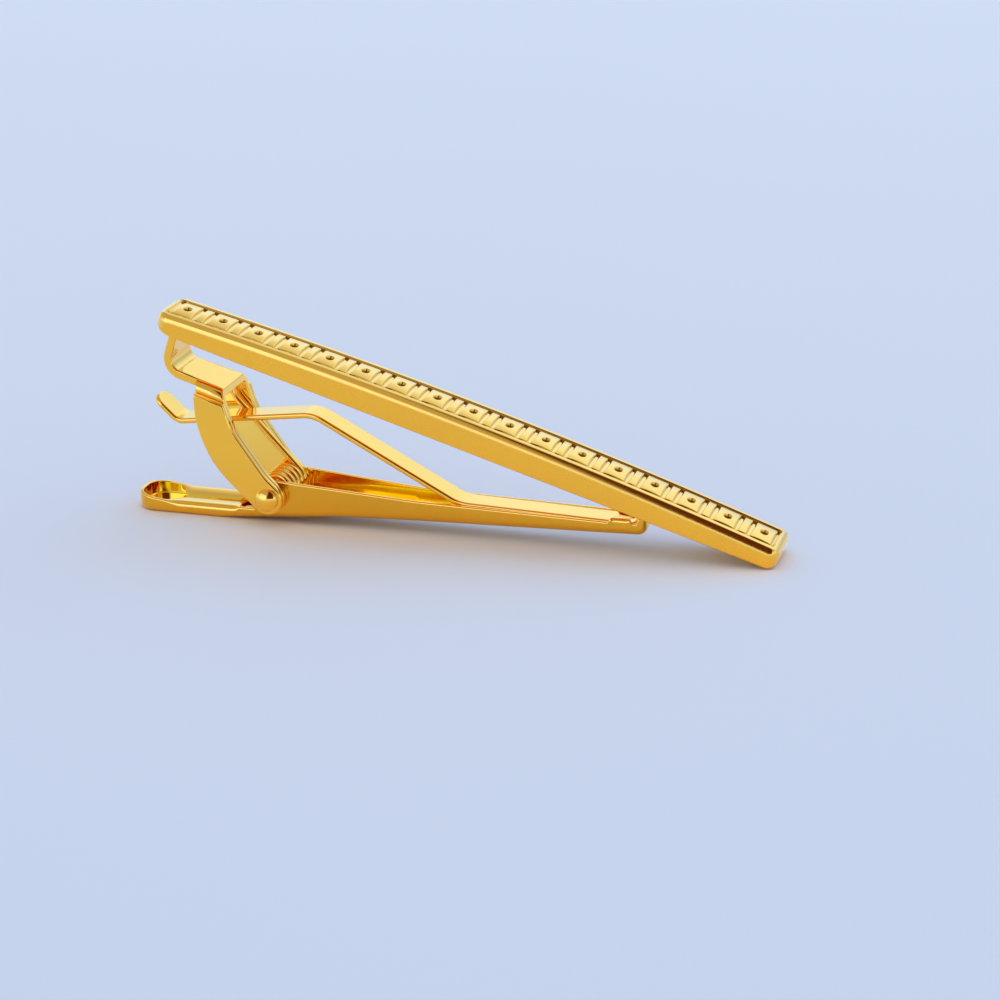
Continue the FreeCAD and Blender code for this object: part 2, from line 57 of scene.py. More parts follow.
# Camera, aimed at a point along the clip from the hinge pin
VIEW_YAW = math.radians(16.677)
VIEW_PITCH = math.radians(19.759)
VIEW_ROLL = math.radians(-0.639)
VIEW_LENS = 108.405
VIEW_SENSOR = 36
VIEW_NEAREST = 0.01
VIEW_FURTHEST = 20
VIEW_DISTANCE = 260.647 * MM
VIEW_TARGET = pin + Vector((20.224, 0, 0.639)) * MM


def add_object(name, data):
    piece = bpy.data.objects.new(name, data)
    bpy.context.scene.collection.objects.link(piece)
    return piece


def add_camera():
    ahead = Vector((-math.sin(VIEW_YAW) * math.cos(VIEW_PITCH),
                    math.cos(VIEW_YAW) * math.cos(VIEW_PITCH),
                    -math.sin(VIEW_PITCH)))
    right = Vector((math.cos(VIEW_YAW), math.sin(VIEW_YAW), 0))
    up = right.cross(ahead)
    tilted_right = right * math.cos(VIEW_ROLL) + up * math.sin(VIEW_ROLL)
    tilted_up = up * math.cos(VIEW_ROLL) - right * math.sin(VIEW_ROLL)
    data = bpy.data.cameras.new("camera")
    data.lens = VIEW_LENS
    data.sensor_width = VIEW_SENSOR
    data.clip_start = VIEW_NEAREST
    data.clip_end = VIEW_FURTHEST
    camera = add_object("camera", data)
    place = Matrix((tilted_right, tilted_up, -ahead)).transposed().to_4x4()
    place.translation = VIEW_TARGET - ahead * VIEW_DISTANCE
    camera.matrix_world = place
    bpy.context.scene.camera = camera


def soft_step(value):
    value = min(max(value, 0.0), 1.0)
    return value * value * (3 - 2 * value)


def on_line(points, x):
    """Value at x of a line through (x, value) points, level beyond its ends."""
    if x <= points[0][0]:
        return points[0][1]
    for (low_x, low), (high_x, high) in zip(points, points[1:]):
        if x <= high_x:
            return low + (high - low) * (x - low_x) / (high_x - low_x)
    return points[-1][1]


def rounding(distance, length, fall):
    """How far an edge that rounds over a length has fallen at a distance from its end."""
    share = 1 - min(max(distance / length, 0.0), 1.0)
    return fall * (1 - math.sqrt(1 - share * share))


def arc_drop(offset, half, rise):
    """How far an arc that rises over a half span has dropped at an offset from its middle."""
    radius = (half * half + rise * rise) / (2 * rise)
    return math.sqrt(max(radius * radius - offset * offset, 0.0)) - radius


def add_mesh(name, points, faces):
    mesh = bpy.data.meshes.new(name)
    mesh.from_pydata(points, [], faces)
    mesh.update()
    for polygon in mesh.polygons:
        polygon.use_smooth = True
    return add_object(name, mesh)


def skin(rings):
    """Points and faces of a tube with closed ends, through rings of the same count."""
    count = len(rings[0])
    points = [point for ring in rings for point in ring]
    faces = []
    for ring in range(len(rings) - 1):
        low, high = ring * count, (ring + 1) * count
        for index in range(count):
            after = (index + 1) % count
            faces.append((low + index, low + after, high + after, high + index))
    faces.append(tuple(range(count))[::-1])
    last = (len(rings) - 1) * count
    faces.append(tuple(last + index for index in range(count)))
    return points, faces


def face_outward(piece):
    form = bmesh.new()
    form.from_mesh(piece.data)
    bmesh.ops.recalc_face_normals(form, faces=form.faces)
    form.to_mesh(piece.data)
    form.free()


# Front bar: its place over the pin, its directions, and its underside's corner at the thumb end
PIN_DROP = 10.75
PIN_SETBACK = 14.35
BAR_TILT = math.radians(17.1)
BAR_ALONG = Vector((math.cos(BAR_TILT), 0, -math.sin(BAR_TILT)))
BAR_UP = Vector((math.sin(BAR_TILT), 0, math.cos(BAR_TILT)))
BAR_CORNER = pin + (BAR_UP * PIN_DROP - BAR_ALONG * PIN_SETBACK) * MM

# Section of the bar: a crowned top between two rims, and sides that curl in to them
BAR_LENGTH = 58.0
BAR_HALF = 2.75
BAR_END_THICKNESS = 1.76
BAR_ARCH = 0.85
BAR_CROWN = 0.09
BAR_CURL_RADIUS = 1.0
BAR_CURL_SHARE = 0.85
BAR_CURL_ANGLE = math.radians(46)
BAR_RIM_RADIUS = 0.1
BAR_ROLL = 0.37
BAR_FOOT = 0.14
BAR_FOOT_SHARE = 0.3
BAR_TOP_HALF = BAR_HALF - BAR_ROLL

# Roundings of the bar's two ends, each as (length, fall): in plan, underneath and on top
BarEnd = namedtuple("BarEnd", "plan foot top")
HIGH_END = BarEnd(plan=(1.4, 1.7), foot=(2.2, 1.0), top=(1.0, 0.70))
LOW_END = BarEnd(plan=(0.9, 0.9), foot=(0.8, 0.6), top=(0.75, 0.6))

# Relief: a sunk panel with squares, a pit in each square, a divider between each two
RIM = 0.45
END_RIM = 0.8
PANEL_HALF = BAR_TOP_HALF - RIM
PANEL_DEPTH = 0.26
PANEL_WALL = 0.13
SQUARE_COUNT = 17
RELIEF_PITCH = 3.375
FIRST_SQUARE = (BAR_LENGTH - (SQUARE_COUNT - 1) * RELIEF_PITCH) / 2
SQUARE_HALF_LENGTH = 1.0
SQUARE_HALF_WIDTH = 1.7
SQUARE_WAIST = 0.08
DIVIDER_HALF_LENGTH = 0.4
DIVIDER_WAIST = 0.05
PILLOW_ALONG = 0.03
PILLOW_ACROSS = 0.07
PIT_HALF_LENGTH = 0.31
PIT_HALF_WIDTH = 0.46
PIT_DEPTH = 0.30
PIT_WALL = 0.5
GAP_PIT_DEPTH = 0.18
GAP_PIT_LENGTH = 0.6
GAP_PIT_WALL = 0.36

# Painted shade in the relief's walls and hollows
WALL_SHADE = 0.2
RIM_WALL_SHADE = 0.75
SHADE_START = 0.3
SHADE_SPAN = 0.14
PIT_SHADE_START = 0.12
PIT_SHADE_SPAN = 0.12

BAR_STEP = 0.05
BAR_TIP_STATION = 0.003
TIP_STEPS = 10
FOOT_STEPS = 6
ROLL_STEPS = 12
RIM_STEPS = 4


def island(along, across, half_length, half_width, waist):
    """1 on a raised block with drawn-in sides, 0 off it, with a soft wall between."""
    u = min(abs(along) / half_length, 1.0)
    v = min(abs(across) / half_width, 1.0)
    reach_along = half_length - waist * (1 - v * v)
    reach_across = half_width - waist * (1 - u * u)
    inside = min(reach_along - abs(along), reach_across - abs(across))
    return soft_step(inside / PANEL_WALL + 0.5)


def relief(along, across):
    """How far the bar's top lies below its rim, for the panel, its blocks and their pits, and its painted
    shade.
    """
    panel_inside = min(along - END_RIM, BAR_LENGTH - END_RIM - along, PANEL_HALF - abs(across))
    sunk = soft_step(panel_inside / PANEL_WALL + 0.5)
    if sunk == 0:
        return 0.0, 0.0
    index = min(max(round((along - FIRST_SQUARE) / RELIEF_PITCH), 0), SQUARE_COUNT - 1)
    from_square = along - FIRST_SQUARE - index * RELIEF_PITCH
    raised = island(from_square, across, SQUARE_HALF_LENGTH, SQUARE_HALF_WIDTH, SQUARE_WAIST)
    gap_index = math.floor((along - FIRST_SQUARE) / RELIEF_PITCH)
    if 0 <= gap_index < SQUARE_COUNT - 1:
        from_divider = along - FIRST_SQUARE - (gap_index + 0.5) * RELIEF_PITCH
        divider = island(from_divider, across, DIVIDER_HALF_LENGTH, SQUARE_HALF_WIDTH, DIVIDER_WAIST)
        raised = max(raised, divider)
    pit_reach = math.hypot(from_square / PIT_HALF_LENGTH, across / PIT_HALF_WIDTH)
    pit = PIT_DEPTH * soft_step((1 - pit_reach) / PIT_WALL + 0.5)
    pillow = PILLOW_ACROSS * (across / SQUARE_HALF_WIDTH) ** 2
    pillow += PILLOW_ALONG * min((from_square / SQUARE_HALF_LENGTH) ** 2, 1)
    gap_end = GAP_PIT_DEPTH * soft_step((abs(across) - PANEL_HALF + GAP_PIT_LENGTH) / GAP_PIT_WALL)
    depth = sunk * ((PANEL_DEPTH + gap_end) * (1 - raised) + raised * (pit + pillow))
    # Painted shade: darker on the blocks' walls, in the pits, in the deepest hollows and along the rim's
    # wall.
    wall = WALL_SHADE * 4 * raised * (1 - raised)
    hollow = raised * soft_step((pit - PIT_SHADE_START) / PIT_SHADE_SPAN)
    deep = soft_step((depth - SHADE_START) / SHADE_SPAN)
    rim_wall = RIM_WALL_SHADE * 4 * sunk * (1 - sunk)
    return depth, max(rim_wall, sunk * max(wall, hollow, deep))


def roll_points(flat_half, edge_top, curl):
    """The side's upper part, as (across, up): it curls in and ends in a small rounded rim."""
    rim_across = BAR_RIM_RADIUS * math.cos(BAR_CURL_ANGLE)
    rim_drop = BAR_RIM_RADIUS * (1 - math.sin(BAR_CURL_ANGLE))
    inset = BAR_ROLL - rim_across
    scale = inset / (1 - math.cos(BAR_CURL_ANGLE))
    points = []
    for index in range(ROLL_STEPS + 1):
        angle = BAR_CURL_ANGLE * index / ROLL_STEPS
        across = flat_half + BAR_ROLL - scale * (1 - math.cos(angle))
        up = edge_top - rim_drop - curl * (math.sin(BAR_CURL_ANGLE) - math.sin(angle))
        points.append((across, up))
    for index in range(1, RIM_STEPS):
        angle = BAR_CURL_ANGLE + (math.pi / 2 - BAR_CURL_ANGLE) * index / RIM_STEPS
        across = flat_half + BAR_RIM_RADIUS * math.cos(angle)
        points.append((across, edge_top - BAR_RIM_RADIUS * (1 - math.sin(angle))))
    return points


def foot_points(half, bottom, radius):
    """The side's lower edge, as (across, up), rounded from the underside into the side."""
    points = []
    for index in range(FOOT_STEPS + 1):
        angle = math.pi / 2 * index / FOOT_STEPS
        across = half - radius + radius * math.sin(angle)
        points.append((across, bottom + radius * (1 - math.cos(angle))))
    return points


def bar_section(along):
    """Closed section of the bar, as (across, up, shade) points, from the underside round over the top."""
    to_end = min(along, BAR_LENGTH - along)
    end = HIGH_END if along < BAR_LENGTH / 2 else LOW_END
    half = BAR_HALF - rounding(to_end, *end.plan)
    bottom = rounding(to_end, *end.foot)
    arch = arc_drop(along - BAR_LENGTH / 2, BAR_LENGTH / 2, BAR_ARCH)
    crest = BAR_END_THICKNESS + BAR_ARCH + BAR_CROWN + arch
    crest -= rounding(to_end, *end.top)
    flat_half = half - BAR_ROLL
    edge_top = crest + arc_drop(flat_half, BAR_TOP_HALF, BAR_CROWN)
    side_height = edge_top - bottom
    foot = foot_points(half, bottom, min(BAR_FOOT, side_height * BAR_FOOT_SHARE))
    roll = roll_points(flat_half, edge_top, min(BAR_CURL_RADIUS, side_height * BAR_CURL_SHARE))
    points = [(across, up, 0.0) for across, up in [(0.0, bottom)] + foot + roll]
    top_count = 2 * round(BAR_TOP_HALF / BAR_STEP)
    for index in range(top_count + 1):
        across = flat_half * (1 - 2 * index / top_count)
        surface = crest + arc_drop(across, BAR_TOP_HALF, BAR_CROWN)
        depth, shade = relief(along, across)
        points.append((across, surface - depth, shade))
    points += [(-across, up, 0.0) for across, up in roll[::-1] + foot[::-1]]
    return points


def end_stations(length):
    """Distances from an end of the bar, close together where it rounds over."""
    stations = [length * (1 - math.cos(math.pi / 2 * index / TIP_STEPS)) for index in range(TIP_STEPS)]
    stations[0] = BAR_TIP_STATION
    return stations


def bar_stations():
    """Distances along the bar at which it has a section."""
    high, low = HIGH_END.plan[0], LOW_END.plan[0]
    span = BAR_LENGTH - high - low
    count = round(span / BAR_STEP)
    middle = [high + span * index / count for index in range(count + 1)]
    return end_stations(high) + middle + [BAR_LENGTH - value for value in end_stations(low)[::-1]]


def add_bar(material):
    rings = []
    shades = []
    for along in bar_stations():
        base = BAR_CORNER + BAR_ALONG * (along * MM)
        section = bar_section(along)
        rings.append([base + Vector((0, across * MM, 0)) + BAR_UP * (up * MM) for across, up, _ in section])
        shades += [shade for _, _, shade in section]
    piece = add_mesh("relief_bar", *skin(rings))
    for end_face in piece.data.polygons[-2:]:
        end_face.use_smooth = False
    # Painted shade of each point, which the material darkens the colour with.
    painted_shade = piece.data.attributes.new("painted_shade", "FLOAT", "POINT")
    painted_shade.data.foreach_set("value", shades)
    piece.data.materials.append(material)
    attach(piece, "bar")
    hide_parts("front_bar")


# Torsion spring
WIRE = 0.56
WIRE_SIDES = 20
COIL_RADIUS = 1.42
COIL_CENTRE = (0.2, 0.15)
COIL_PITCH = 0.84
COIL_TURNS = 4
COIL_STEPS = 40
LEVER_LEG_X = -2.6
LEVER_FLOOR = -1.973
LEVER_LEG_CLEARANCE = 0.04
BRACKET_LEG_ANGLE = math.radians(133)
BRACKET_LEG_X = -5.0
BRACKET_LEG_TOP = 8.75
BRACKET_LEG_BEND = 0.9


def bracket_leg(foot):
    """Points of the leg that leaves the coil at its foot, bends upright and ends under the bridge."""
    out = Vector((math.cos(BRACKET_LEG_ANGLE), 0, math.sin(BRACKET_LEG_ANGLE)))
    knee = foot + out * ((BRACKET_LEG_X - foot.x) / out.x)
    top = Vector((BRACKET_LEG_X, foot.y, BRACKET_LEG_TOP))
    before = knee - out * BRACKET_LEG_BEND
    after = knee + Vector((0, 0, BRACKET_LEG_BEND))
    points = [foot.lerp(before, share) for share in (0.3, 0.65, 1.0)]
    for share in (0.2, 0.4, 0.6, 0.8, 1.0):
        points.append(before.lerp(knee, share).lerp(knee.lerp(after, share), share))
    points += [after.lerp(top, share) for share in (0.5, 1.0)]
    return points


def spring_line():
    """Points of the spring's middle line: leg on the lever, coil, leg under the bracket's bridge."""
    centre_x, centre_z = COIL_CENTRE
    run = centre_x - LEVER_LEG_X
    rise = centre_z - LEVER_FLOOR
    clear = COIL_RADIUS + WIRE / 2 + LEVER_LEG_CLEARANCE
    slope = math.atan2(rise, run) - math.asin(clear / math.hypot(run, rise))
    start = slope - math.pi / 2
    end = BRACKET_LEG_ANGLE - math.pi / 2 + 2 * math.pi * COIL_TURNS
    count = COIL_STEPS * COIL_TURNS
    coil = []
    for index in range(count + 1):
        angle = start + (end - start) * index / count
        across = COIL_PITCH * (angle - (start + end) / 2) / (2 * math.pi)
        coil.append(Vector((centre_x + COIL_RADIUS * math.cos(angle), across,
                            centre_z + COIL_RADIUS * math.sin(angle))))
    back = Vector((-math.cos(slope), 0, -math.sin(slope)))
    leg_length = (LEVER_LEG_X - coil[0].x) / back.x
    lever_leg = [coil[0] + back * (leg_length * share) for share in (1.0, 0.75, 0.5, 0.25)]
    return lever_leg + coil + bracket_leg(coil[-1])


def add_spring(material):
    line = spring_line()
    rings = []
    side = Vector((0, 1, 0))
    for index, point in enumerate(line):
        ahead = (line[min(index + 1, len(line) - 1)] - line[max(index - 1, 0)]).normalized()
        side = (side - ahead * side.dot(ahead)).normalized()
        other = ahead.cross(side)
        ring = []
        for turn in range(WIRE_SIDES):
            angle = 2 * math.pi * turn / WIRE_SIDES
            outward = side * math.cos(angle) + other * math.sin(angle)
            ring.append(pin + (point + outward * (WIRE / 2)) * MM)
        rings.append(ring)
    piece = add_mesh("wound_spring", *skin(rings))
    piece.data.materials.append(material)
    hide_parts("torsion_spring")
    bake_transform(piece)


# Rivet: a pin with a domed head at each end
RIVET_RADIUS = 0.6
RIVET_SEAT = 3.585
RIVET_HEAD = 1.05
RIVET_RIM = 0.1
RIVET_EDGE = 0.2
RIVET_DOME = 1.45
RIVET_SIDES = 64
RIVET_EDGE_STEPS = 6
RIVET_DOME_STEPS = 9


def pin_ring(radius, along):
    """Points of a circle about the hinge pin."""
    turns = [-2 * math.pi * index / RIVET_SIDES for index in range(RIVET_SIDES)]
    return [pin + Vector((radius * math.cos(turn), along, radius * math.sin(turn))) * MM for turn in turns]


def rivet_profile():
    """Half of the rivet's outline, as (out, along), from the pin's middle to the top of a head."""
    outline = [(RIVET_RADIUS, 0.0), (RIVET_RADIUS, RIVET_SEAT), (RIVET_HEAD, RIVET_SEAT)]
    shoulder = math.asin((RIVET_HEAD - RIVET_EDGE) / (RIVET_DOME - RIVET_EDGE))
    for index in range(RIVET_EDGE_STEPS + 1):
        angle = (math.pi / 2 - shoulder) * index / RIVET_EDGE_STEPS
        outline.append((RIVET_HEAD - RIVET_EDGE * (1 - math.cos(angle)),
                        RIVET_SEAT + RIVET_RIM + RIVET_EDGE * math.sin(angle)))
    centre = outline[-1][1] - RIVET_DOME * math.cos(shoulder)
    for index in range(1, RIVET_DOME_STEPS):
        angle = shoulder * (1 - index / RIVET_DOME_STEPS)
        outline.append((RIVET_DOME * math.sin(angle), centre + RIVET_DOME * math.cos(angle)))
    return outline


def add_rivet(material):
    half = rivet_profile()
    outline = [(out, -along) for out, along in half[:0:-1]] + half
    piece = add_mesh("domed_rivet", *skin([pin_ring(out, along) for out, along in outline]))
    piece.data.materials.append(material)
    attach(piece, "bar")
    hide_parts("pivot_rivet")


# Jaw lever: a folded sheet, whose lines along its length are (x, value) turning points
LEVER_SHEET = 0.32
LEVER_LEFT = -13.1
LEVER_RIGHT = 33.6
LEVER_FOLD = ((-4.0, 0.42), (8.0, 0.7))
LEVER_UNDERSIDE = ((-5.0, -2.5), (6.0, -1.65), (LEVER_RIGHT, -0.92))
LEVER_HALF_WIDTH = ((2.0, 2.35), (13.0, 1.9), (LEVER_RIGHT, 1.75))
THUMB_TOP = ((LEVER_LEFT, -0.96), (-9.9, -1.38), (-1.65, -1.38))
EAR_TOP = ((-1.5, 0.25), (-1.2, 0.9), (-0.7, 1.3), (0.0, 1.44))
JAW_TOP = ((13.0, 0.488), (30.25, 0.15))
TAB_TOP = ((30.5, 0.5), (32.2, 0.5), (32.4, 0.2), (32.8, 0.2), (33.0, 0.7))
LEVER_TOP = THUMB_TOP + EAR_TOP + JAW_TOP + TAB_TOP
THUMB_CORNER = 1.9
TIP_CORNER = 0.8
PIN_HOLE = 0.65

# Flaps rolled in from the lever's walls, with the lead that each grows in over
Flap = namedtuple("Flap", "start end reach lead corner shoulder dip")
THUMB_FLAP = Flap(start=-10.4, end=-3.2, reach=2.0, lead=1.8, corner=0.8, shoulder=0.45, dip=0.5)
TIP_TAB = Flap(start=30.4, end=32.2, reach=0.75, lead=0.4, corner=0.35, shoulder=0.3, dip=0.05)
SHEET_EDGE = 0.14
EDGE_SHEET = 0.08
FLAP_SHEET = 0.25
FLAP_EDGE = 0.06
FLAP_BOW = 0.97
FLAP_SLIP = 0.08

LEVER_STEP = 0.4
LEVER_FINE_STEP = 0.08
LEVER_FINE = ((-10.5, -8.5), (-4.2, -1.0), (30.2, 32.8))
LEVER_FINE_MARGIN = 0.1
ARC_STEPS = 8
FLAP_STEPS = 12


def flap_share(flap, x):
    """1 along a flap, 0 off it. It grows out of the wall at its left and is rounded in plan at its right."""
    inside = min(max((flap.end - x) / flap.corner, 0.0), 1.0)
    return soft_step((x - flap.start) / flap.lead) * math.sqrt(1 - (1 - inside) ** 2)


def lever_section(x):
    """Half of the lever's section, as (inward, up): underside, wall, rolled flap, and back to the floor."""
    bottom = on_line(LEVER_UNDERSIDE, x)
    top = on_line(LEVER_TOP, x)
    fold = on_line(LEVER_FOLD, x)
    thumb, tab = flap_share(THUMB_FLAP, x), flap_share(TIP_TAB, x)
    shoulder = SHEET_EDGE
    shoulder += (THUMB_FLAP.shoulder - SHEET_EDGE) * thumb + (TIP_TAB.shoulder - SHEET_EDGE) * tab
    reach = LEVER_SHEET + THUMB_FLAP.reach * thumb + TIP_TAB.reach * tab
    dip = THUMB_FLAP.dip * thumb + TIP_TAB.dip * tab
    sheet = EDGE_SHEET + (FLAP_SHEET - EDGE_SHEET) * max(thumb, tab)
    turns = [math.pi / 2 * index / ARC_STEPS for index in range(ARC_STEPS + 1)]
    shares = [index / FLAP_STEPS for index in range(1, FLAP_STEPS + 1)]
    falls = [dip * (1 - math.sqrt(1 - (FLAP_BOW * share) ** 2)) for share in shares]
    points = [(fold * (1 - math.sin(turn)), bottom + fold * (1 - math.cos(turn))) for turn in turns]
    points += [(shoulder * (1 - math.cos(turn)), top - shoulder * (1 - math.sin(turn))) for turn in turns]
    flat = reach - FLAP_EDGE - shoulder
    points += [(shoulder + flat * share, top - fall) for share, fall in zip(shares, falls)]
    points.append((reach, top - falls[-1] - FLAP_EDGE))
    for share, fall in zip(shares[::-1], falls[::-1]):
        slip = FLAP_SLIP * (1 - share)
        points.append((LEVER_SHEET + (reach - LEVER_SHEET) * share, top - fall - sheet - slip))
    inner = fold - LEVER_SHEET
    for turn in turns[::-1]:
        points.append((fold - inner * math.sin(turn), bottom + fold - inner * math.cos(turn)))
    return points


def corner_station(x, y, radius, outward_x, outward_y):
    return x + radius * outward_x, y + radius * outward_y, -outward_x, -outward_y


def lever_spots(left, right):
    """Places along the lever's straight sides, closer together at its flaps, ears and tabs."""
    count = round((right - left) / LEVER_STEP)
    spots = [right]
    for index in range(count + 1):
        x = left + (right - left) * index / count
        if not any(low - LEVER_FINE_MARGIN < x < high + LEVER_FINE_MARGIN for low, high in LEVER_FINE):
            spots.append(x)
    for low, high in LEVER_FINE:
        spots += [low + LEVER_FINE_STEP * index for index in range(round((high - low) / LEVER_FINE_STEP))]
    return sorted(spots, reverse=True)


def lever_stations():
    """Front half of the lever's plan, from tip to thumb end, as (x, y, inward x, inward y)."""
    left, right = LEVER_LEFT + THUMB_CORNER, LEVER_RIGHT - TIP_CORNER
    tip_y = TIP_CORNER - on_line(LEVER_HALF_WIDTH, right)
    thumb_y = THUMB_CORNER - on_line(LEVER_HALF_WIDTH, left)
    stations = []
    for index in range(ARC_STEPS):
        turn = math.pi / 2 * index / ARC_STEPS
        stations.append(corner_station(right, tip_y, TIP_CORNER, math.cos(turn), -math.sin(turn)))
    stations += [(x, -on_line(LEVER_HALF_WIDTH, x), 0.0, 1.0) for x in lever_spots(left, right)]
    for index in range(1, 2 * ARC_STEPS + 1):
        turn = math.pi / 4 * index / ARC_STEPS
        stations.append(corner_station(left, thumb_y, THUMB_CORNER, -math.sin(turn), -math.cos(turn)))
    return stations


def cut_pin_hole(piece):
    cutter = add_mesh("pin_hole", *skin([pin_ring(PIN_HOLE, along) for along in (-RIVET_SEAT, RIVET_SEAT)]))
    face_outward(cutter)
    cut = piece.modifiers.new("pin", "BOOLEAN")
    cut.operation = "DIFFERENCE"
    cut.solver = "EXACT"
    cut.object = cutter
    shape = piece.evaluated_get(bpy.context.evaluated_depsgraph_get())
    mesh = bpy.data.meshes.new_from_object(shape)
    piece.modifiers.clear()
    piece.data = mesh
    bpy.data.objects.remove(cutter)


def add_lever(material):
    stations = lever_stations()
    half = len(stations)
    stations += [(x, -y, inward_x, -inward_y) for x, y, inward_x, inward_y in stations[::-1]]
    points = []
    for x, y, inward_x, inward_y in stations:
        section = lever_section(x)
        for inward, up in section:
            points.append(pin + Vector((x + inward_x * inward, y + inward_y * inward, up)) * MM)
    count = len(section)
    faces = []
    for station in range(len(stations)):
        here, after = station * count, (station + 1) % len(stations) * count
        faces += [(here + i, here + i + 1, after + i + 1, after + i) for i in range(count - 1)]
    for station in range(half - 1):
        front = (station * count, (station + 1) * count)
        rear = ((2 * half - 2 - station) * count, (2 * half - 1 - station) * count)
        faces.append((*front, *rear))
        faces.append(tuple(corner + count - 1 for corner in (*front, *rear)))
    piece = add_mesh("folded_lever", points, faces)
    face_outward(piece)
    cut_pin_hole(piece)
    level = piece.modifiers.new("level", "WEIGHTED_NORMAL")
    level.keep_sharp = True
    piece.data.materials.append(material)
    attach(piece, "lever")
    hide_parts("jaw_lever")


# Rounded sheet edges
WELD = 0.012
FLAT_ANGLE = math.radians(0.3)
EDGE_ANGLE = math.radians(38)
EDGE_STEPS = 4
BRACKET_EDGE = 0.14
PLATE_EDGE = 0.12
STRIP_EDGE = 0.2


def soften(node, body, material, width):
    """A copy of a node's sheet with its sharp edges rounded over."""
    form = bmesh.new()
    form.from_mesh(frame["nodes"][node].data)
    bmesh.ops.remove_doubles(form, verts=form.verts, dist=WELD * MM)
    bmesh.ops.dissolve_limit(form, angle_limit=FLAT_ANGLE, verts=form.verts, edges=form.edges)
    form.normal_update()
    for face in form.faces:
        face.smooth = True
    mesh = bpy.data.meshes.new(node + "_rounded")
    form.to_mesh(mesh)
    form.free()
    piece = add_object(node + "_rounded", mesh)
    rounded = piece.modifiers.new("edges", "BEVEL")
    rounded.width = width * MM
    rounded.segments = EDGE_STEPS
    rounded.limit_method = "ANGLE"
    rounded.angle_limit = EDGE_ANGLE
    rounded.use_clamp_overlap = False
    level = piece.modifiers.new("level", "WEIGHTED_NORMAL")
    level.keep_sharp = True
    mesh.materials.append(material)
    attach(piece, body)
    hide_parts(node)


def opaque(colour):
    return (*colour, 1)


def node_set(owner):
    owner.use_nodes = True
    tree = owner.node_tree
    tree.nodes.clear()
    return tree.nodes, tree.links


def feed(links, socket, value):
    """Links a value that another node gives, or sets a plain one."""
    if isinstance(value, bpy.types.NodeSocket):
        links.new(value, socket)
    else:
        socket.default_value = value


def add_ramp(nodes, links, value, stops):
    ramp = nodes.new("ShaderNodeValToRGB")
    elements = ramp.color_ramp.elements
    while len(elements) < len(stops):
        elements.new(0.5)
    for element, (position, colour) in zip(elements, stops):
        element.position = position
        element.color = opaque(colour)
    links.new(value, ramp.inputs["Fac"])
    return ramp.outputs["Color"]


def add_range(nodes, links, value, source, result, smooth=False):
    """A value carried from one range to another and held at its ends."""
    mapped = nodes.new("ShaderNodeMapRange")
    if smooth:
        mapped.interpolation_type = "SMOOTHSTEP"
    for name, limit in zip(("From Min", "From Max", "To Min", "To Max"), (*source, *result)):
        mapped.inputs[name].default_value = limit
    links.new(value, mapped.inputs["Value"])
    return mapped.outputs["Result"]


def add_mix(nodes, links, factor, first, second, blend="MIX"):
    mix = nodes.new("ShaderNodeMix")
    mix.data_type = "RGBA"
    mix.blend_type = blend
    for name, value in (("Factor", factor), ("A", first), ("B", second)):
        feed(links, mix.inputs[name], value)
    return mix.outputs["Result"]


def add_math(nodes, links, operation, *values):
    node = nodes.new("ShaderNodeMath")
    node.operation = operation
    for socket, value in zip(node.inputs, values):
        feed(links, socket, value)
    return node.outputs["Value"]


def add_dot(nodes, links, vector, direction):
    dot = nodes.new("ShaderNodeVectorMath")
    dot.operation = "DOT_PRODUCT"
    dot.inputs[1].default_value = direction
    links.new(vector, dot.inputs[0])
    return dot.outputs["Value"]


def add_parts(nodes, links, vector):
    """The X, Y and Z of a vector, by name."""
    parts = nodes.new("ShaderNodeSeparateXYZ")
    links.new(vector, parts.inputs["Vector"])
    return parts.outputs


def add_noise(nodes, links, vector, scale, detail):
    noise = nodes.new("ShaderNodeTexNoise")
    noise.inputs["Scale"].default_value = scale
    noise.inputs["Detail"].default_value = detail
    links.new(vector, noise.inputs["Vector"])
    return noise.outputs["Fac"]


# Middle of the range that a noise fills
NOISE_SPAN = (0.3, 0.7)

# Table: pale paper, a little deeper nearby as painted shade, and warmer where the polish shows it as a
# painted reflection
FLOOR_NEAR = (0.57, 0.66, 0.86)
FLOOR_FAR = (0.66, 0.765, 0.95)
FLOOR_DEPTH = (-0.10, 0.35)
FLOOR_IN_POLISH = (1.30, 1.17, 0.95)
FLOOR_MOTTLE = 0.04
FLOOR_SCALE = 9
FLOOR_DETAIL = 3
FLOOR_ROUGHNESS = 0.9
FLOOR_SHEEN = 0.1
FLOOR_SIZE = 30.0


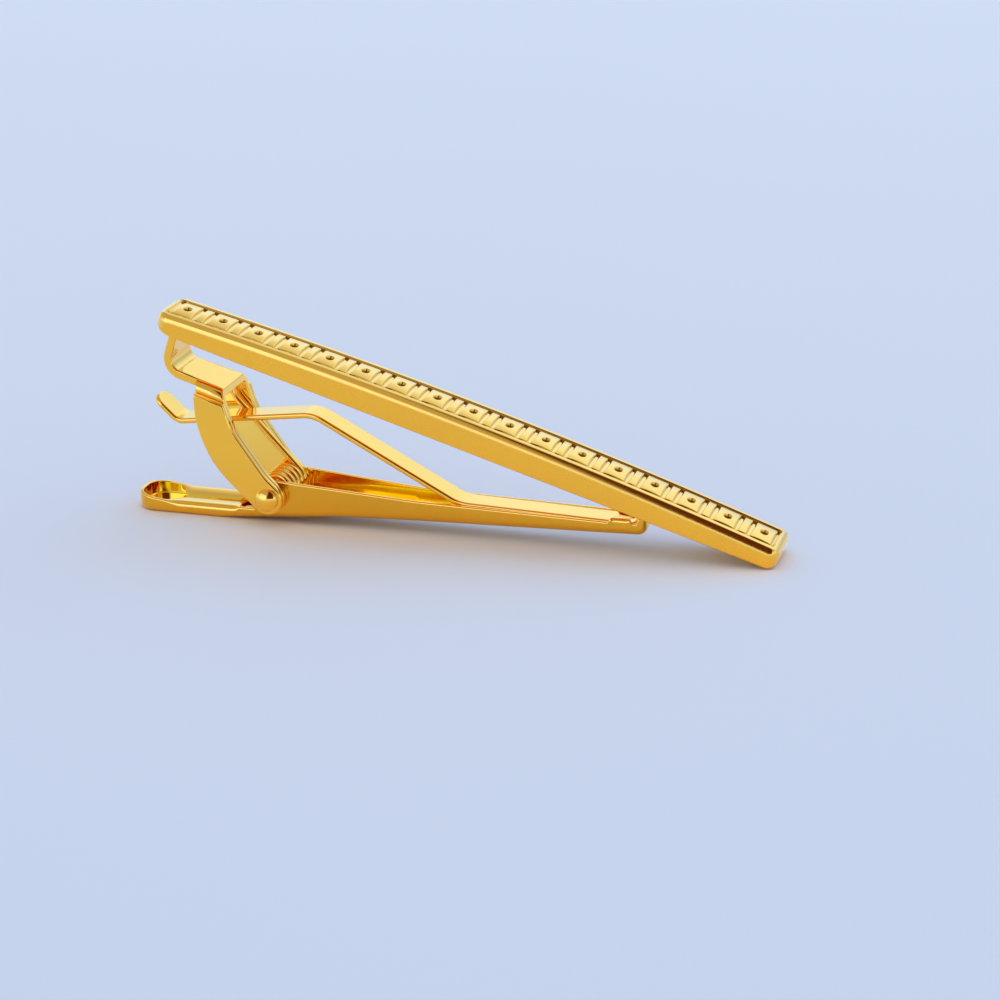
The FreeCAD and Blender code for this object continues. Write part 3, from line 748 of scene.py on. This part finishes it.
def add_floor():
    size = FLOOR_SIZE
    corners = [(-size, -size, 0), (size, -size, 0), (size, size, 0), (-size, size, 0)]
    floor = add_mesh("floor", corners, [(0, 1, 2, 3)])
    material = bpy.data.materials.new("pale_paper")
    nodes, links = node_set(material)
    output = nodes.new("ShaderNodeOutputMaterial")
    shader = nodes.new("ShaderNodeBsdfPrincipled")
    shader.inputs["Roughness"].default_value = FLOOR_ROUGHNESS
    shader.inputs["Specular IOR Level"].default_value = FLOOR_SHEEN
    place = nodes.new("ShaderNodeTexCoord").outputs["Object"]
    # Painted shade: the paper is deeper nearby and paler further back.
    distance = add_range(nodes, links, add_parts(nodes, links, place)["Y"], FLOOR_DEPTH, (0, 1))
    cloud = add_noise(nodes, links, place, FLOOR_SCALE, FLOOR_DETAIL)
    mottle = add_range(nodes, links, cloud, NOISE_SPAN, (-FLOOR_MOTTLE, FLOOR_MOTTLE))
    shade = add_math(nodes, links, "ADD", distance, mottle)
    paper = add_ramp(nodes, links, shade, ((0.0, FLOOR_NEAR), (1.0, FLOOR_FAR)))
    # Painted reflection: in the polish the paper shows warmer and brighter.
    in_polish = nodes.new("ShaderNodeLightPath").outputs["Is Glossy Ray"]
    warmed = add_mix(nodes, links, in_polish, paper, opaque(FLOOR_IN_POLISH), "MULTIPLY")
    links.new(warmed, shader.inputs["Base Color"])
    links.new(shader.outputs["BSDF"], output.inputs["Surface"])
    floor.data.materials.append(material)


# Light on the table, straight from the studio and returned by the gold, in front and behind
PLAIN_FRONT = (0.80, 0.64, 0.46)
PLAIN_BEHIND = (1.16, 1.31, 1.49)
RETURN_FRONT = (3.4, 2.9, 2.4)
RETURN_BEHIND = (1.1, 0.85, 0.62)
PLAIN_DEPTH = (-0.6, 0.6)
PLAIN_STRENGTH = 1.0

# What the polish shows: levels by height, pale paper behind and a warmer ceiling in front
BEHIND_LEVELS = ((0.0, (0.54, 0.64, 0.82)), (0.30, (0.76, 0.86, 0.94)), (0.50, (0.80, 0.88, 0.88)),
                 (0.58, (0.68, 0.68, 0.58)), (0.66, (0.56, 0.53, 0.42)), (0.80, (0.44, 0.38, 0.28)))
BEHIND_LEAN = -0.5
BEHIND_LOW = 0.82
BEHIND_LOW_HEIGHT = (0.15, 0.32)
FRONT_LEVELS = ((0.0, (0.62, 0.70, 0.82)), (0.08, (0.78, 0.86, 0.95)), (0.25, (0.76, 0.80, 0.82)),
                (0.42, (0.44, 0.37, 0.26)), (0.88, (0.42, 0.36, 0.26)))
LEVELS_DEPTH = (-0.3, 0.3)
SURROUNDINGS_STRENGTH = 1.3

# Upright shapes in front, a bright one and a dim one: yaw of the middle and half width, lean with
# height, and lowest and highest elevation as sines
Shape = namedtuple("Shape", "colour yaw half_width lean lowest highest")
BRIGHT_SHAPE = Shape((1.25, 1.10, 1.60), math.radians(-32), math.radians(24), 0.0, -0.1, 0.5)
DIM_SHAPE = Shape((0.085, 0.020, 0.006), math.radians(19), math.radians(24), 0.25, 0.12, 0.93)
SHAPE_SOFTNESS = 0.04


def add_shape(nodes, links, vector, shape):
    """1 inside an upright shape that stands in front at a yaw, 0 outside it, with soft edges."""
    ahead = add_dot(nodes, links, vector, (math.sin(shape.yaw), -math.cos(shape.yaw), 0))
    aside = add_dot(nodes, links, vector, (math.cos(shape.yaw), math.sin(shape.yaw), 0))
    height = add_dot(nodes, links, vector, (0, 0, 1))
    leaning = add_math(nodes, links, "MULTIPLY", height, shape.lean)
    turned = add_math(nodes, links, "ARCTAN2", aside, ahead)
    away = add_math(nodes, links, "ABSOLUTE", add_math(nodes, links, "SUBTRACT", turned, leaning))
    edges = ((away, shape.half_width, -1), (height, shape.lowest, 1), (height, shape.highest, -1))
    inside = 1.0
    for value, edge, way in edges:
        span = (edge - way * SHAPE_SOFTNESS, edge + way * SHAPE_SOFTNESS)
        soft = add_range(nodes, links, value, span, (0, 1), smooth=True)
        inside = add_math(nodes, links, "MULTIPLY", inside, soft)
    return inside


def add_surroundings(nodes, links, vector):
    """What the polish shows: levels by height, behind and in front, and two upright shapes in front."""
    parts = add_parts(nodes, links, vector)
    lean = add_math(nodes, links, "MULTIPLY", parts["X"], BEHIND_LEAN)
    leaning = add_math(nodes, links, "ADD", parts["Z"], lean)
    behind = add_ramp(nodes, links, leaning, BEHIND_LEVELS)
    near_floor = add_range(nodes, links, parts["Z"], BEHIND_LOW_HEIGHT, (BEHIND_LOW, 1))
    dimmed = add_mix(nodes, links, 1, behind, near_floor, "MULTIPLY")
    front = add_ramp(nodes, links, parts["Z"], FRONT_LEVELS)
    depth = add_range(nodes, links, parts["Y"], LEVELS_DEPTH, (0, 1), smooth=True)
    seen = add_mix(nodes, links, depth, front, dimmed)
    for shape in (BRIGHT_SHAPE, DIM_SHAPE):
        inside = add_shape(nodes, links, vector, shape)
        seen = add_mix(nodes, links, inside, seen, opaque(shape.colour))
    return seen


def add_plain(nodes, links, vector, front, behind):
    """Even light that changes slowly from front to rear."""
    depth = add_range(nodes, links, add_parts(nodes, links, vector)["Y"], PLAIN_DEPTH, (0, 1))
    return add_mix(nodes, links, depth, opaque(front), opaque(behind))


def add_background(nodes, links, colour, strength):
    background = nodes.new("ShaderNodeBackground")
    background.inputs["Strength"].default_value = strength
    links.new(colour, background.inputs["Color"])
    return background.outputs["Background"]


def mix_shaders(nodes, links, factor, first, second):
    mix = nodes.new("ShaderNodeMixShader")
    links.new(factor, mix.inputs["Fac"])
    links.new(first, mix.inputs[1])
    links.new(second, mix.inputs[2])
    return mix.outputs["Shader"]


def add_light():
    world = bpy.data.worlds.new("studio")
    bpy.context.scene.world = world
    nodes, links = node_set(world)
    world.cycles.sampling_method = "NONE"
    output = nodes.new("ShaderNodeOutputWorld")
    vector = nodes.new("ShaderNodeTexCoord").outputs["Generated"]
    path = nodes.new("ShaderNodeLightPath").outputs
    surroundings = add_surroundings(nodes, links, vector)
    plain = add_plain(nodes, links, vector, PLAIN_FRONT, PLAIN_BEHIND)
    returned = add_plain(nodes, links, vector, RETURN_FRONT, RETURN_BEHIND)
    seen_light = add_background(nodes, links, surroundings, SURROUNDINGS_STRENGTH)
    plain_light = add_background(nodes, links, plain, PLAIN_STRENGTH)
    returned_light = add_background(nodes, links, returned, PLAIN_STRENGTH)
    from_floor = add_math(nodes, links, "GREATER_THAN", path["Diffuse Depth"], 0.5)
    polish = mix_shaders(nodes, links, from_floor, seen_light, returned_light)
    light = mix_shaders(nodes, links, path["Is Diffuse Ray"], polish, plain_light)
    links.new(light, output.inputs["Surface"])


# Gold plating, with light and shade painted into its colour: palest inside the folds, pale on top, deeper on
# the outward sides, dark in the recesses
INNER = (1.0, 0.70, 0.13)
PALE = (0.99, 0.655, 0.115)
DEEP = (0.99, 0.535, 0.033)
SHEET_DEEP = (0.97, 0.56, 0.05)
# Lever tones: painted light and shade, paler inside its channel and darker on its outward sides.
LEVER_INNER = (1.0, 0.86, 0.11)
LEVER_DEEP = (0.80, 0.42, 0.022)
LIFT_SPAN = (0.05, 0.15)
INNER_SPAN = (-0.2, -0.6)
TONE_LOW = 0.96
PAINTED_SHADE_TONE = (0.26, 0.085, 0.006)
RECESS_ROUGHNESS = 0.4
COAT_GONE = 0.4
COAT_ROUGHNESS = 0.05
COAT_IOR = 1.45
SATIN = 0.14
SATIN_SPAN = (0.93, 0.995)
WAVE_SCALE = 260
WAVE_DETAIL = 3
SPECK_SCALE = 3800
SPECK_DETAIL = 4


def add_painted_light_tone(nodes, links, up, outward, inner, deep):
    """Painted light and shade: the plating's colour by the way that a face looks, up, outward or inward."""
    lift = add_range(nodes, links, up, LIFT_SPAN, (0, 1))
    outside = add_mix(nodes, links, lift, opaque(deep), opaque(PALE))
    inward = add_range(nodes, links, outward, INNER_SPAN, (0, 1))
    return add_mix(nodes, links, inward, outside, opaque(inner))


def add_bump(nodes, links, height, depth):
    bump = nodes.new("ShaderNodeBump")
    bump.inputs["Distance"].default_value = depth * MM
    links.new(height, bump.inputs["Height"])
    return bump


def gold(name, inner, deep, rough, wave, speck, drawn, coat):
    """Gold plating. Its polish is slowly uneven by wave and has a grain of speck, both drawn out along X."""
    material = bpy.data.materials.new(name)
    nodes, links = node_set(material)
    output = nodes.new("ShaderNodeOutputMaterial")
    shader = nodes.new("ShaderNodeBsdfPrincipled")
    shader.inputs["Metallic"].default_value = 1.0
    shader.inputs["Coat Roughness"].default_value = COAT_ROUGHNESS
    shader.inputs["Coat IOR"].default_value = COAT_IOR
    coordinates = nodes.new("ShaderNodeTexCoord").outputs
    place = add_parts(nodes, links, coordinates["Object"])
    facing = add_parts(nodes, links, coordinates["Normal"])
    side = add_math(nodes, links, "SIGN", place["Y"])
    outward = add_math(nodes, links, "MULTIPLY", side, facing["Y"])
    stretch = nodes.new("ShaderNodeMapping")
    stretch.inputs["Scale"].default_value = (1 / drawn, 1, 1)
    links.new(coordinates["Object"], stretch.inputs["Vector"])
    slow = add_noise(nodes, links, stretch.outputs["Vector"], WAVE_SCALE, WAVE_DETAIL)
    fine = add_noise(nodes, links, stretch.outputs["Vector"], SPECK_SCALE, SPECK_DETAIL)
    attribute = nodes.new("ShaderNodeAttribute")
    attribute.attribute_name = "painted_shade"
    painted_shade = attribute.outputs["Fac"]

    # Painted highlight and shade by facing: pale up, deep outward, palest inward.
    painted_light_tone = add_painted_light_tone(nodes, links, facing["Z"], outward, inner, deep)
    worn = add_range(nodes, links, slow, NOISE_SPAN, (TONE_LOW, 1))
    worn_painted_light_tone = add_mix(nodes, links, 1, painted_light_tone, worn, "MULTIPLY")
    # Painted shade: the recesses darken toward a dark brown.
    shaded = add_mix(nodes, links, painted_shade, worn_painted_light_tone, opaque(PAINTED_SHADE_TONE))
    links.new(shaded, shader.inputs["Base Color"])

    polish = add_range(nodes, links, fine, NOISE_SPAN, rough)
    dulled = add_math(nodes, links, "MULTIPLY", painted_shade, RECESS_ROUGHNESS)
    satin = add_range(nodes, links, outward, SATIN_SPAN, (0, SATIN))
    roughness = add_math(nodes, links, "ADD", add_math(nodes, links, "ADD", polish, dulled), satin)
    links.new(roughness, shader.inputs["Roughness"])
    clear = add_range(nodes, links, painted_shade, (0, COAT_GONE), (coat, 0))
    links.new(clear, shader.inputs["Coat Weight"])

    uneven = add_bump(nodes, links, slow, wave)
    grain = add_bump(nodes, links, fine, speck)
    links.new(uneven.outputs["Normal"], grain.inputs["Normal"])
    links.new(grain.outputs["Normal"], shader.inputs["Normal"])
    links.new(shader.outputs["BSDF"], output.inputs["Surface"])
    return material


bpy.context.scene.view_settings.view_transform = "Standard"
bpy.context.scene.cycles.max_bounces = 24
bpy.context.scene.cycles.glossy_bounces = 20
add_camera()
add_floor()
add_light()

ornament = gold("ornament_gold", INNER, DEEP,
                rough=(0.08, 0.14), wave=0.003, speck=0.0003, drawn=3, coat=0.9)
sheet = gold("sheet_gold", INNER, SHEET_DEEP,
             rough=(0.06, 0.12), wave=0.003, speck=0.0003, drawn=8, coat=0.7)
# The lever's gold is a shaded copy: painted shade on its outward sides and a paler painted inside.
lever = gold("lever_gold_painted_shade", LEVER_INNER, LEVER_DEEP,
             rough=(0.06, 0.12), wave=0.003, speck=0.0003, drawn=8, coat=0.5)
wire = gold("wire_gold", INNER, DEEP,
            rough=(0.08, 0.14), wave=0.002, speck=0.0003, drawn=1, coat=0.7)

add_bar(ornament)
soften("hinge_bracket", "bar", sheet, BRACKET_EDGE)
for node in ("front_side_plate", "rear_side_plate"):
    soften(node, "bar", sheet, PLATE_EDGE)
add_lever(lever)
soften("guard_strip", "lever", sheet, STRIP_EDGE)
add_rivet(sheet)
add_spring(wire)
